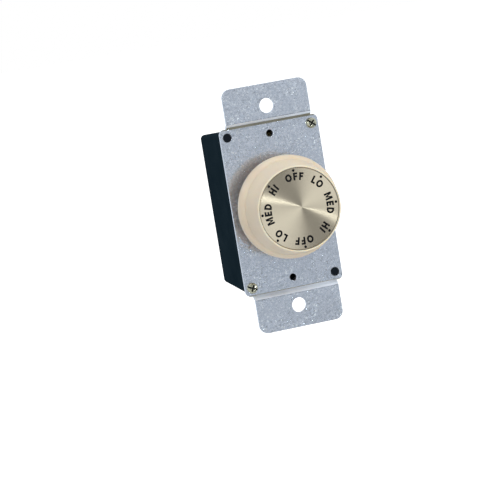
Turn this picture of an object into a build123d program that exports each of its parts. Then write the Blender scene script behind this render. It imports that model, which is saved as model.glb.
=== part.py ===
from build123d import *
import os

# Rotary fan speed control for a wall box: a knob in front, a steel yoke, a black housing behind it.
# X runs to the viewer's right, Y into the wall and Z up. The origin lies on the shaft axis, in the
# plane of the wall side of the yoke's ears. Heights are measured forward from the plate's front.

# Yoke, one joggled and punched sheet
sheet_thickness = 1.3
plate_width = 42.3
plate_height = 69.6
plate_corner_radius = 2.2
ear_width = 36.3
yoke_length = 101.6
ear_corner_radius = 3.6
ear_step = 2.1
step_run = 1.5
bend_radius = 1.0
box_screw_spacing = 83.34
box_screw_hole_radius = 3.05
cover_screw_spacing = 60.33
cover_screw_hole_radius = 1.42
collar_radius = 2.3
collar_length = 1.3
punch_chamfer = 0.3

# Housing, a drafted box that is open towards the yoke
housing_depth = 35.6
housing_side_inset = 0.65
housing_end_inset = 0.6
corner_inset_x = 2.4
corner_inset_z = 2.9
housing_side_draft = 0.25
housing_end_draft = 2.3
housing_wall = 2.0
housing_corner_radius = 2.4
housing_rear_radius = 1.8
housing_rear_edge_radius = 0.7
boss_radius = 3.0
boss_depth = 15.0
boss_web_shift = 1.8
peg_radius = 1.55
peg_height = 0.35
screw_radius = 1.45
screw_length = 12.0
screw_head_radius = 2.2
screw_head_height = 1.5
screw_head_round = 0.9
screw_slot_width = 0.7
screw_slot_depth = 0.7
screw_cross_length = 2.9
screw_turns = [40, 25]
screw_tip_radius = 0.5
post_radius = 2.2
post_length = 7.1
post_inset_x = 3.8
post_inset_z = 4.5
lead_hole_radius = 2.4
lead_collar_radius = 4.0
lead_collar_length = 1.6
lead_x = 6.5
lead_z = -20.5

# Clearances: fixed pieces that slip together, a turning shaft, and contacts that only just miss
slip = 0.05
running = 0.05
gap = 0.3

# Switch mechanism behind the yoke
insulator_thickness = 0.4
insulator_margin = 0.3
frame_thickness = 1.0
frame_width = 28.0
claw_width = 6.0
claw_foot = 2.5
base_depth = 11.8
base_corner_radius = 3.0
base_wall = 1.7
floor_thickness = 3.0
bushing_radius = 4.75
bushing_height = 6.6
flange_radius = 7.0
flange_thickness = 1.0
nut_width = 14.2
nut_thickness = 2.4
washer_thickness = 0.6
washer_radius = 7.3
washer_tooth_root = 6.0
washer_teeth = 10
washer_slot_width = 1.3

# Shaft and what turns with it
shaft_radius = 3.0
shaft_flat = 2.2
shaft_end_cover = 4.25
pilot_radius = 2.0
pilot_length = 3.2
shaft_chamfer = 0.4
clip_radius = 5.0
clip_thickness = 0.6
groove_depth = 0.6
clip_mouth = 3.0
clip_lobe_radius = 0.84
wheel_radius = 9.5
wheel_thickness = 2.6
stops = 8
speeds = ["low", "medium", "high"]
notch_radius = 1.75
notch_centre = 10.1
leaf_thickness = 0.4
leaf_width = 2.0
leaf_reach = 7.6
rotor_radius = 9.2
rotor_thickness = 3.2
pin_radius = 0.5
pin_x = 5.9
bridge_thickness = 0.4
bridge_inner_radius = 3.4
bridge_ring_radius = 5.3
bridge_arm_width = 3.2
bridge_reach = 8.4
dimple_radius = 0.8
dimple_height = 0.5

# Fixed contacts, circuit board and what it carries
contact_thickness = 0.8
contact_proud = 0.3
contact_circle = 7.2
contact_radius = 1.5
ring_inner_radius = 3.6
ring_outer_radius = 5.2
blade_centre = 9.2
blade_width = 2.4
board_thickness = 1.6
board_side_margin = 0.7
board_end_margin = 1.55
board_corner_radius = 1.0
board_lead_hole_radius = 0.8
blade_proud = 0.6
capacitor_width = 27.4
capacitor_height = 12.2
capacitor_front_gap = 1.9
capacitor_base_gap = 1.2
capacitor_edge_radius = 1.2
capacitor_pin_inset = 3.0
lead_wire_radius = 0.4
lead_bend_radius = 1.2
resistor_radius = 2.1
resistor_length = 11.0
resistor_round = 0.85
resistor_lead_run = 2.7
resistor_board_gap = 0.8
resistor_standoff = 0.4

# Knob and dial
knob_rear_height = 8.8
skirt_radius = 21.2
skirt_top_height = 11.0
band_radius = 19.75
band_height = 14.2
band_sag = 0.38
band_ledge = 0.2
lip_radius = 17.4
lip_height = 25.75
flank_sag = 0.35
knob_wall = 1.7
knob_top = 2.1
knob_boss_radius = 5.4
knob_boss_gap = 2.0
dial_recess = 0.45
dial_rim = 0.85
dial_thickness = 0.5
dial_chamfer = 0.15
rib_count = 6
rib_thickness = 1.2
rib_depth = 3.2
grip_thickness = 0.35
grip_width = 3.6
grip_hook = 1.6
bore_end_gap = 0.6
skirt_round = 0.5
lip_round = 0.3

# Sizes across that the sizes above set
housing_front_width = plate_width - 2 * housing_side_inset
housing_front_height = plate_height - 2 * housing_end_inset
corner_x = housing_front_width / 2 - corner_inset_x
corner_z = housing_front_height / 2 - corner_inset_z
cavity_radius = frame_width / 2 - base_wall
capacitor_z = frame_width / 2 + capacitor_base_gap + capacitor_height / 2
capacitor_pin_x = capacitor_width / 2 - capacitor_pin_inset
resistor_z = frame_width / 2 + resistor_board_gap
resistor_foot_x = resistor_length / 2 + resistor_lead_run
dial_radius = lip_radius - dial_rim - slip

# Depths along Y that the sizes above set
plate_front = ear_step - sheet_thickness
plate_rear = plate_front + sheet_thickness
housing_rear = plate_rear + housing_depth
insulator_rear = plate_rear + insulator_thickness
frame_rear = insulator_rear + frame_thickness
flange_rear = frame_rear + flange_thickness
base_rear = frame_rear + base_depth
floor_front = base_rear - floor_thickness
contact_front = floor_front - contact_proud
contact_rear = contact_front + contact_thickness
bridge_front = contact_front - running - dimple_height - bridge_thickness
bridge_rear = bridge_front + bridge_thickness
rotor_front = bridge_front - rotor_thickness
wheel_rear = rotor_front - gap
wheel_front = wheel_rear - wheel_thickness
housing_floor = housing_rear - housing_wall
board_rear = housing_floor - post_length
board_front = board_rear - board_thickness
capacitor_front = insulator_rear + capacitor_front_gap
bushing_front = plate_front - bushing_height
clip_front = bushing_front - gap - clip_thickness
boss_rear = clip_front - knob_boss_gap
lip_front = plate_front - lip_height
shaft_front = lip_front + shaft_end_cover
dial_front = lip_front + dial_recess
dial_rear = dial_front + dial_thickness
knob_top_rear = dial_rear + knob_top

screw_corners = [(corner_x, corner_z), (-corner_x, -corner_z)]
peg_corners = [(-corner_x, corner_z), (corner_x, -corner_z)]
corners = screw_corners + peg_corners
speed_angles = {speed: (place + 1) * 360 / stops for place, speed in enumerate(speeds)}
line_angle = -90


def wall_plane(depth):
    return Plane.XZ.offset(-depth)


def slab(outline, front, rear):
    return extrude(wall_plane(rear) * outline, amount=rear - front)


def rod(radius, front, rear, x=0, z=0):
    return slab(Pos(x, z) * Circle(radius), front, rear)


def turned(points):
    return revolve(Plane.XY * make_face(Polyline(*points, close=True)), Axis.Y)


def d_section(radius, flat):
    above_flat = Pos(0, flat + radius) * Rectangle(4 * radius, 2 * radius)
    return Circle(radius) - above_flat


def keyed_bore(front, rear):
    return slab(d_section(shaft_radius + slip, shaft_flat + slip), front, rear)


def corner_patch(x, z, margin=0):
    side = 2 * (boss_radius + margin)
    shift_x = boss_web_shift if x > 0 else -boss_web_shift
    shift_z = boss_web_shift if z > 0 else -boss_web_shift
    return Pos(x + shift_x, z + shift_z) * Rectangle(side, side)


# Yoke
def yoke_section():
    ear_middle = -sheet_thickness / 2
    plate_middle = plate_front + sheet_thickness / 2
    step_start = plate_height / 2
    step_end = step_start + step_run
    upper = [(plate_middle, step_start), (ear_middle, step_end), (ear_middle, yoke_length / 2)]
    lower = [(y, -z) for y, z in reversed(upper)]
    middle = FilletPolyline(*lower, *upper, radius=bend_radius)
    return Plane.YZ * trace(middle, line_width=sheet_thickness)


def yoke_outline():
    plate = RectangleRounded(plate_width, plate_height, plate_corner_radius)
    ears = RectangleRounded(ear_width, yoke_length, ear_corner_radius)
    return plate + ears


def punched(part, radius, x, z):
    hole = rod(radius, plate_front, plate_rear + collar_length, x, z)
    flare = turned([(0, plate_front), (radius + punch_chamfer, plate_front),
                    (radius, plate_front + punch_chamfer), (0, plate_front + punch_chamfer)])
    return part - hole - Pos(x, 0, z) * flare


def yoke_plate():
    bent = extrude(yoke_section(), amount=plate_width / 2, both=True)
    part = bent & slab(yoke_outline(), -ear_step - sheet_thickness, plate_rear + sheet_thickness)
    for z in (-cover_screw_spacing / 2, cover_screw_spacing / 2):
        part += rod(collar_radius, plate_rear, plate_rear + collar_length, 0, z)
        part = punched(part, cover_screw_hole_radius, 0, z)
    for z in (-box_screw_spacing / 2, box_screw_spacing / 2):
        part -= rod(box_screw_hole_radius, -2 * sheet_thickness, sheet_thickness, 0, z)
    for x, z in screw_corners:
        part -= rod(screw_radius + gap, plate_front, plate_rear, x, z)
    for x, z in peg_corners:
        part = punched(part, peg_radius + slip, x, z)
    return part - rod(bushing_radius + slip, plate_front, plate_rear)


# Housing
def housing_size(depth, inset):
    share = (depth - plate_rear) / housing_depth
    return (housing_front_width - 2 * (housing_side_draft * share + inset),
            housing_front_height - 2 * (housing_end_draft * share + inset))


def board_size():
    width, height = housing_size(board_rear, housing_wall)
    return width - 2 * board_side_margin, height - 2 * board_end_margin


def post_places():
    width, height = board_size()
    post_x = width / 2 - post_inset_x
    post_z = height / 2 - post_inset_z
    return [(x, z) for x in (-post_x, post_x) for z in (-post_z, post_z)]


def housing_block(inset, rear):
    front = RectangleRounded(*housing_size(plate_rear, inset), housing_corner_radius - inset / 2)
    back = RectangleRounded(*housing_size(rear, inset), housing_rear_radius - inset / 2)
    block = loft([wall_plane(plate_rear) * front, wall_plane(rear) * back], ruled=True)
    rear_edges = block.faces().sort_by(Axis.Y)[-1].edges()
    return fillet(rear_edges, housing_rear_edge_radius)


def rear_housing():
    block = housing_block(0, housing_rear)
    part = block - housing_block(housing_wall, housing_floor)
    for x, z in corners:
        boss = Pos(x, z) * Circle(boss_radius) + corner_patch(x, z)
        part += slab(boss, plate_rear, plate_rear + boss_depth) & block
    for x, z in screw_corners:
        part -= rod(screw_radius + slip, plate_rear, plate_rear + screw_length, x, z)
    for x, z in peg_corners:
        part += rod(peg_radius, plate_front - peg_height, plate_rear, x, z)
    for x, z in post_places():
        part += rod(post_radius, board_rear, housing_floor, x, z)
    for x in (-lead_x, lead_x):
        part += rod(lead_collar_radius, housing_floor - lead_collar_length, housing_floor, x, lead_z)
        part -= rod(lead_hole_radius, housing_floor - lead_collar_length, housing_rear, x, lead_z)
    for z in (-cover_screw_spacing / 2, cover_screw_spacing / 2):
        part -= rod(collar_radius + gap, plate_rear, plate_rear + collar_length + gap, 0, z)
    return part


def housing_screw():
    head_front = plate_front - screw_head_height
    head = turned([(0, head_front), (screw_head_radius, head_front),
                   (screw_head_radius, plate_front), (0, plate_front)])
    head = fillet(head.edges().sort_by(Axis.Y)[0], screw_head_round)
    slot = Box(2 * screw_head_radius, 2 * screw_slot_depth, screw_slot_width)
    cross = Box(screw_slot_width, 2 * screw_slot_depth, screw_cross_length)
    head -= Pos(0, head_front, 0) * (slot + cross)
    tip = plate_rear + screw_length - 2 * gap
    shank = turned([(0, plate_front), (screw_radius, plate_front), (screw_radius, tip - screw_radius),
                    (screw_tip_radius, tip), (0, tip)])
    return head + shank


# Switch, from the yoke to its floor
def insulator_sheet():
    sheet = Rectangle(housing_front_width - 2 * housing_wall - 2 * insulator_margin,
                      housing_front_height - 2 * housing_wall - 2 * insulator_margin)
    for x, z in corners:
        sheet -= corner_patch(x, z, insulator_margin)
        sheet -= Pos(x, z) * Circle(boss_radius + insulator_margin)
    for z in (-cover_screw_spacing / 2, cover_screw_spacing / 2):
        sheet -= Pos(0, z) * Circle(collar_radius + insulator_margin)
    sheet -= Circle(bushing_radius + insulator_margin)
    return slab(sheet, plate_rear, insulator_rear)


def switch_frame():
    plate = slab(RectangleRounded(frame_width, frame_width, base_corner_radius),
                 insulator_rear, frame_rear)
    middle = insulator_rear + frame_thickness / 2
    side = frame_width / 2 + slip + frame_thickness / 2
    foot = base_rear + slip + frame_thickness / 2
    fold = FilletPolyline((side - claw_foot, middle), (side, middle), (side, foot),
                          (side - claw_foot, foot), radius=frame_thickness / 2 + slip)
    claw = extrude(Plane.XY * trace(fold, line_width=frame_thickness), amount=claw_width / 2, both=True)
    frame = plate + claw + mirror(claw, Plane.YZ)
    return frame - rod(bushing_radius + slip, insulator_rear, frame_rear)


def mounting_bushing():
    bore = shaft_radius + running
    body = turned([(bore, bushing_front), (bushing_radius, bushing_front), (bushing_radius, frame_rear),
                   (flange_radius, frame_rear), (flange_radius, flange_rear), (bore, flange_rear)])
    return chamfer(body.edges().group_by(Axis.Y)[0], gap)


def bushing_nut():
    front = plate_front - washer_thickness - nut_thickness
    hexagon = RegularPolygon(radius=nut_width / 2, side_count=6, major_radius=False)
    return slab(hexagon - Circle(bushing_radius + slip), front, front + nut_thickness)


def lock_washer():
    ring = Circle(washer_radius) - Circle(bushing_radius + slip)
    slot_length = washer_tooth_root - bushing_radius + slip + gap
    for turn in range(washer_teeth):
        slot = Pos(washer_tooth_root - slot_length / 2, 0) * Rectangle(slot_length, washer_slot_width)
        ring -= Rot(0, 0, turn * 360 / washer_teeth) * slot
    return slab(ring, plate_front - washer_thickness, plate_front)


def terminal(angle, ring=False):
    if ring:
        pad = Circle(ring_outer_radius) - Circle(ring_inner_radius)
        tab_start = (ring_inner_radius + ring_outer_radius) / 2
    else:
        pad = Pos(contact_circle, 0) * Circle(contact_radius)
        tab_start = contact_circle
    tab_end = blade_centre + contact_thickness / 2
    tab = Pos((tab_start + tab_end) / 2, 0) * Rectangle(tab_end - tab_start, blade_width)
    blade = Pos(blade_centre, 0) * Rectangle(contact_thickness, blade_width)
    flat = slab(Rot(0, 0, angle) * (pad + tab), contact_front, contact_rear)
    return flat + slab(Rot(0, 0, angle) * blade, contact_front, board_rear + blade_proud)


def terminal_cut(angle, front, rear):
    slot = Pos(blade_centre, 0) * Rectangle(contact_thickness + 2 * slip, blade_width + 2 * slip)
    return slab(Rot(0, 0, angle) * slot, front, rear)


def terminal_pocket(angle, ring=False):
    tab_end = blade_centre + contact_thickness / 2 + slip
    start = ring_outer_radius if ring else contact_circle
    pocket = Pos((start + tab_end) / 2, 0) * Rectangle(tab_end - start, blade_width + 2 * slip)
    if ring:
        pocket += Circle(ring_outer_radius + slip) - Circle(ring_inner_radius - slip)
        pocket += Pos(ring_outer_radius, 0) * Rectangle(2 * gap, blade_width + 2 * slip)
    else:
        pocket += Pos(contact_circle, 0) * Circle(contact_radius + slip)
    return slab(Rot(0, 0, angle) * pocket, floor_front, contact_rear)


def leaf_outline():
    nose_outer = notch_radius - 2 * slip
    nose = Pos(notch_centre, 0) * (Circle(nose_outer) - Circle(nose_outer - leaf_thickness))
    nose &= Pos(notch_centre - notch_radius, 0) * Rectangle(2 * notch_radius, 4 * notch_radius)
    arm_length = leaf_reach - nose_outer + leaf_thickness
    leaf = nose
    for way in (-1, 1):
        arm_middle = way * (leaf_reach - arm_length / 2)
        leaf += Pos(notch_centre + leaf_thickness / 2, arm_middle) * Rectangle(leaf_thickness, arm_length)
    return leaf


def detent_spring(side):
    middle = (wheel_front + wheel_rear) / 2
    leaf = slab(leaf_outline(), middle - leaf_width / 2, middle + leaf_width / 2)
    return leaf if side > 0 else mirror(leaf, Plane.YZ)


def switch_base():
    block = slab(RectangleRounded(frame_width, frame_width, base_corner_radius), frame_rear, base_rear)
    part = block - rod(cavity_radius, frame_rear, floor_front)
    middle = (wheel_front + wheel_rear) / 2
    for way in (-1, 1):
        slot = Pos(way * (notch_centre + leaf_thickness / 2), 0)
        slot *= Rectangle(leaf_thickness + 2 * slip, 2 * (leaf_reach + slip))
        part -= slab(slot, frame_rear, middle + leaf_width / 2 + slip)
    part -= rod(pilot_radius + running, floor_front, base_rear - gap * 2)
    for angle in speed_angles.values():
        part -= terminal_pocket(angle) + terminal_cut(angle, floor_front, base_rear)
    return part - terminal_pocket(line_angle, ring=True) - terminal_cut(line_angle, floor_front, base_rear)


# What turns with the shaft
def selector_shaft():
    keyed = d_section(shaft_radius, shaft_flat)
    flat_end = clip_front - gap
    front = slab(keyed, shaft_front, flat_end)
    front = chamfer(front.edges().group_by(Axis.Y)[0], shaft_chamfer)
    middle = rod(shaft_radius, flat_end, wheel_front)
    rear = slab(keyed, wheel_front, bridge_rear)
    pilot = rod(pilot_radius, bridge_rear, bridge_rear + pilot_length)
    groove = slab(Circle(shaft_radius + gap) - Circle(shaft_radius - groove_depth),
                  clip_front - slip, clip_front + clip_thickness + slip)
    return front + middle + rear + pilot - groove


def shaft_clip():
    inner = shaft_radius - groove_depth + slip
    ring = Circle(clip_radius) - Circle(inner)
    ring -= Pos(0, -clip_radius / 2 - inner / 2) * Rectangle(clip_mouth, clip_radius)
    for angle in (30, 150):
        ring -= Rot(0, 0, angle) * Pos(inner, 0) * Circle(clip_lobe_radius)
    return slab(ring, clip_front, clip_front + clip_thickness)


def detent_wheel():
    star = Circle(wheel_radius)
    for turn in range(stops):
        star -= Rot(0, 0, turn * 360 / stops) * Pos(notch_centre, 0) * Circle(notch_radius)
    return slab(star, wheel_front, wheel_rear) - keyed_bore(wheel_front, wheel_rear)


def contact_rotor():
    part = rod(rotor_radius, rotor_front, bridge_front) - keyed_bore(rotor_front, bridge_front)
    for x in (-pin_x, pin_x):
        part += rod(pin_radius, bridge_front, bridge_rear + slip, x, 0)
    return part


def contact_bridge():
    plate = Circle(bridge_ring_radius) + Rectangle(2 * bridge_reach, bridge_arm_width)
    plate -= Circle(bridge_inner_radius)
    for x in (-pin_x, pin_x):
        plate -= Pos(x, 0) * Circle(pin_radius + slip)
    part = slab(plate, bridge_front, bridge_rear)
    ring_middle = (ring_inner_radius + ring_outer_radius) / 2
    tip_radius = dimple_radius / 2
    dimple = turned([(0, bridge_rear - bridge_thickness / 2),
                     (dimple_radius, bridge_rear - bridge_thickness / 2), (dimple_radius, bridge_rear),
                     (tip_radius, bridge_rear + dimple_height), (0, bridge_rear + dimple_height)])
    for x, z in [(-contact_circle, 0), (contact_circle, 0), (0, -ring_middle), (0, ring_middle)]:
        part += Pos(x, 0, z) * dimple
    return part


# Circuit board, capacitors and resistors
def capacitor_pins(way):
    return [(-capacitor_pin_x, way * capacitor_z), (capacitor_pin_x, way * capacitor_z)]


def circuit_board():
    board = RectangleRounded(*board_size(), board_corner_radius)
    for way in (-1, 1):
        resistor_feet = [(-resistor_foot_x, way * resistor_z), (resistor_foot_x, way * resistor_z)]
        for x, z in capacitor_pins(way) + resistor_feet:
            board -= Pos(x, z) * Circle(lead_wire_radius + slip)
    for x in (-lead_x, lead_x):
        board -= Pos(x, lead_z) * Circle(board_lead_hole_radius)
    part = slab(board, board_front, board_rear)
    for angle in [*speed_angles.values(), line_angle]:
        part -= terminal_cut(angle, board_front, board_rear)
    return part


def capacitor(way):
    can = Pos(0, (capacitor_front + board_front) / 2, way * capacitor_z)
    can *= Box(capacitor_width, board_front - capacitor_front, capacitor_height)
    can = fillet(can.edges().filter_by(Axis.Y) + can.edges().group_by(Axis.Y)[0], capacitor_edge_radius)
    for x, z in capacitor_pins(way):
        can += rod(lead_wire_radius, board_front, board_rear + blade_proud, x, z)
    return can


def bleed_resistor(way):
    centre = board_rear + resistor_standoff + resistor_radius
    z = way * resistor_z
    body = Pos(0, centre, z) * Rot(0, 90, 0) * Cylinder(resistor_radius, resistor_length)
    body = fillet(body.edges().filter_by(GeomType.CIRCLE), resistor_round)
    path = FilletPolyline((0, centre, z), (resistor_foot_x, centre, z),
                          (resistor_foot_x, board_front - blade_proud, z), radius=lead_bend_radius)
    lead = sweep(Plane(path @ 0, z_dir=path % 0) * Circle(lead_wire_radius), path=path)
    return body + lead + mirror(lead, Plane.YZ)


# Knob, dial and the grip spring in the knob's bore
def knob_profile():
    band_top = plate_front - band_height
    skirt_top = plate_front - skirt_top_height
    knob_rear = plate_front - knob_rear_height
    flank_foot = (band_radius - band_ledge, band_top)
    flank = SagittaArc((lip_radius, lip_front), flank_foot, flank_sag)
    band = SagittaArc((skirt_radius, skirt_top), (band_radius, band_top), band_sag)
    outside = flank + Line(flank_foot, band @ 1) + band
    inside = Polyline((skirt_radius, skirt_top), (skirt_radius, knob_rear),
                      (skirt_radius - knob_wall, knob_rear), (band_radius - knob_wall, band_top),
                      (lip_radius - flank_sag - knob_wall, knob_top_rear),
                      (knob_boss_radius, knob_top_rear), (knob_boss_radius, boss_rear), (0, boss_rear),
                      (0, dial_rear), (dial_radius + slip, dial_rear), (dial_radius + slip, lip_front),
                      (lip_radius, lip_front))
    return make_face(outside + inside)


def knob_ribs():
    outer = lip_radius - knob_wall
    ribs = Sketch()
    for turn in range(rib_count):
        blade = Pos(outer / 2, 0) * Rectangle(outer, rib_thickness)
        ribs += Rot(0, 0, (turn + 0.5) * 360 / rib_count) * blade
    return slab(ribs - Circle(knob_boss_radius - gap), knob_top_rear, knob_top_rear + rib_depth)


def knob_body():
    part = revolve(Plane.XY * knob_profile(), Axis.Y)
    rear_edge = part.edges().group_by(Axis.Y)[-1].sort_by(SortBy.RADIUS)[-1]
    part = fillet(rear_edge, skirt_round)
    lip_edge = part.edges().group_by(Axis.Y)[0].sort_by(SortBy.RADIUS)[-1]
    part = fillet(lip_edge, lip_round)
    part += knob_ribs()
    bore_end = shaft_front - bore_end_gap
    pocket_height = shaft_flat + 2 * slip + grip_thickness
    pocket = Pos(0, pocket_height / 2) * Rectangle(grip_width + 2 * slip, pocket_height)
    return part - keyed_bore(bore_end, boss_rear) - slab(pocket, bore_end, boss_rear)


def dial_plate():
    disc = rod(dial_radius, dial_front, dial_rear)
    return chamfer(disc.edges().group_by(Axis.Y)[0], dial_chamfer)


def grip_spring():
    middle = shaft_flat + slip + grip_thickness / 2
    strip = Pos(0, middle) * Rectangle(grip_width, grip_thickness)
    hook = Pos(0, middle + grip_hook / 2) * Rectangle(grip_width, grip_hook + grip_thickness)
    strip = slab(strip, shaft_front - bore_end_gap + slip, boss_rear + grip_thickness)
    return strip + slab(hook, boss_rear, boss_rear + grip_thickness)


nodes = {
    "yoke_plate": yoke_plate(),
    "rear_housing": rear_housing(),
    "housing_screws": Compound([Pos(x, 0, z) * Rot(0, turn, 0) * housing_screw()
                                for (x, z), turn in zip(screw_corners, screw_turns)]),
    "insulator_sheet": insulator_sheet(),
    "switch_frame": switch_frame(),
    "switch_base": switch_base(),
    "mounting_bushing": mounting_bushing(),
    "bushing_nut": bushing_nut(),
    "lock_washer": lock_washer(),
    "line_terminal": terminal(line_angle, ring=True),
    "detent_spring_left": detent_spring(-1),
    "detent_spring_right": detent_spring(1),
    "circuit_board": circuit_board(),
    "capacitor_upper": capacitor(1),
    "capacitor_lower": capacitor(-1),
    "bleed_resistor_upper": bleed_resistor(1),
    "bleed_resistor_lower": bleed_resistor(-1),
    "selector_shaft": selector_shaft(),
    "shaft_clip": shaft_clip(),
    "detent_wheel": detent_wheel(),
    "contact_rotor": contact_rotor(),
    "contact_bridge": contact_bridge(),
    "knob_body": knob_body(),
    "dial_plate": dial_plate(),
    "grip_spring": grip_spring(),
}
for speed, angle in speed_angles.items():
    nodes[f"{speed}_terminal"] = terminal(angle)

os.makedirs("parts", exist_ok=True)
for name, solid in nodes.items():
    export_step(solid, f"parts/{name}.step")
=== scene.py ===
import bmesh
import bpy
import math
from mathutils import Euler, Matrix, Vector


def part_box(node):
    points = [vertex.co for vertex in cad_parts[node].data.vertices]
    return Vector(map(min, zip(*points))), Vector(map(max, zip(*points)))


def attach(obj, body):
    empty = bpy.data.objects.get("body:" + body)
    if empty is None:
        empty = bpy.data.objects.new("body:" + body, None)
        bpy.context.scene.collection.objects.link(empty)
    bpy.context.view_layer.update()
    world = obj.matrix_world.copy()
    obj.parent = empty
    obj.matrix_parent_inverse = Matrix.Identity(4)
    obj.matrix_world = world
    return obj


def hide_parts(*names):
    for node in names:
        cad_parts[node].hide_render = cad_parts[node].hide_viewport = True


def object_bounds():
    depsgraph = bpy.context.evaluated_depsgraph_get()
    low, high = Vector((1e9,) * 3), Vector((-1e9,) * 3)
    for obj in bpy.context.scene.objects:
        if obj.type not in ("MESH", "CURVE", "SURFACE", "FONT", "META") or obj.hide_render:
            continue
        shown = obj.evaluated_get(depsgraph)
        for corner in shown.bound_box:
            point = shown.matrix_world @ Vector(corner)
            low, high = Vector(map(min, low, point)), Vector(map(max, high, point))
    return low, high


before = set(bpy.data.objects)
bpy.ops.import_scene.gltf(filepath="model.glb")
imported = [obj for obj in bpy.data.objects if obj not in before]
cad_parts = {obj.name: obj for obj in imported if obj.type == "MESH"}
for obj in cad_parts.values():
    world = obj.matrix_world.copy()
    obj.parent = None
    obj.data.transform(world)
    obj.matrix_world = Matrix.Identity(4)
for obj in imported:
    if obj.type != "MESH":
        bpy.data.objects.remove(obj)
cadBox = [list(corner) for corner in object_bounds()]
mm = 0.001
print("frame loaded")


# Camera, lamps and surroundings
cameraSetup = {
    "azimuth": -14.39,      # degrees, negative is from the object's left
    "elevation": 6.52,
    "lean": -9.45,          # how far the picture is turned
    "distance": 0.900,
    "aim": (-0.01895, 0.00434, -0.01119),
    "focal": 163.99,
    "sensor": 36.0,
    "nearest": 0.01,
}


def makeCamera():
    data = bpy.data.cameras.new("photoCamera")
    data.sensor_width = cameraSetup["sensor"]
    data.lens = cameraSetup["focal"]
    data.clip_start = cameraSetup["nearest"]
    camera = bpy.data.objects.new("photoCamera", data)
    bpy.context.scene.collection.objects.link(camera)
    azimuth = math.radians(cameraSetup["azimuth"])
    elevation = math.radians(cameraSetup["elevation"])
    back = Vector((math.sin(azimuth) * math.cos(elevation),
                   -math.cos(azimuth) * math.cos(elevation), math.sin(elevation)))
    turn = back.to_track_quat("Z", "Y") @ Euler((0, 0, math.radians(cameraSetup["lean"]))).to_quaternion()
    camera.rotation_mode = "QUATERNION"
    camera.rotation_quaternion = turn
    camera.location = Vector(cameraSetup["aim"]) + back * cameraSetup["distance"]
    bpy.context.scene.camera = camera
    bpy.context.view_layer.update()


lampSetup = {
    "front": {"place": (-0.30, -1.05, 0.165), "size": 0.12, "power": 1.8, "tint": (0.80, 0.92, 1.0),
              "gloss": True},
    "upperRight": {"place": (0.50, -1.10, 0.90), "size": 0.90, "power": 5.0, "tint": (1.0, 0.98, 0.94),
                   "gloss": False},
    "top": {"place": (-0.10, -0.50, 1.30), "size": 0.60, "power": 5.5, "tint": (0.97, 0.98, 1.0),
            "gloss": False},
}


def makeLamps():
    for name, setup in lampSetup.items():
        data = bpy.data.lights.new(name, "AREA")
        data.shape = "DISK"
        data.size = setup["size"]
        data.energy = setup["power"]
        data.color = setup["tint"]
        lamp = bpy.data.objects.new(name, data)
        bpy.context.scene.collection.objects.link(lamp)
        place = Vector(setup["place"])
        lamp.location = place
        lamp.rotation_mode = "QUATERNION"
        lamp.rotation_quaternion = place.to_track_quat("Z", "Y")
        lamp.visible_glossy = setup["gloss"]


worldSetup = {
    "fill": 0.74, "tint": (0.97, 0.985, 1.0),
    # gloss sees a pale room with two soft grey flags, up on the left and down on the right
    "roomTint": (0.84, 0.95, 1.08),
    "roomTones": [(0.0, 0.62), (0.10, 0.62), (0.50, 0.82), (0.90, 0.96)],
    "flagAim": (0.247, -0.962, -0.113), "flagAngle": 119.0,
    "flagTones": [(0.0, 1.0), (0.35, 0.78), (0.64, 0.68), (0.82, 0.20), (1.0, 0.18)],
    "flagReach": [(0.0, 0.0), (0.03, 0.0), (0.09, 1.0), (0.50, 1.0), (0.85, 0.0)],
}


def fillRamp(ramp, tones, tint=(1, 1, 1)):
    for index, (place, tone) in enumerate(tones):
        stop = ramp.elements[index] if index < 2 else ramp.elements.new(place)
        stop.position = place
        stop.color = (*(tone * part for part in tint), 1)


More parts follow.
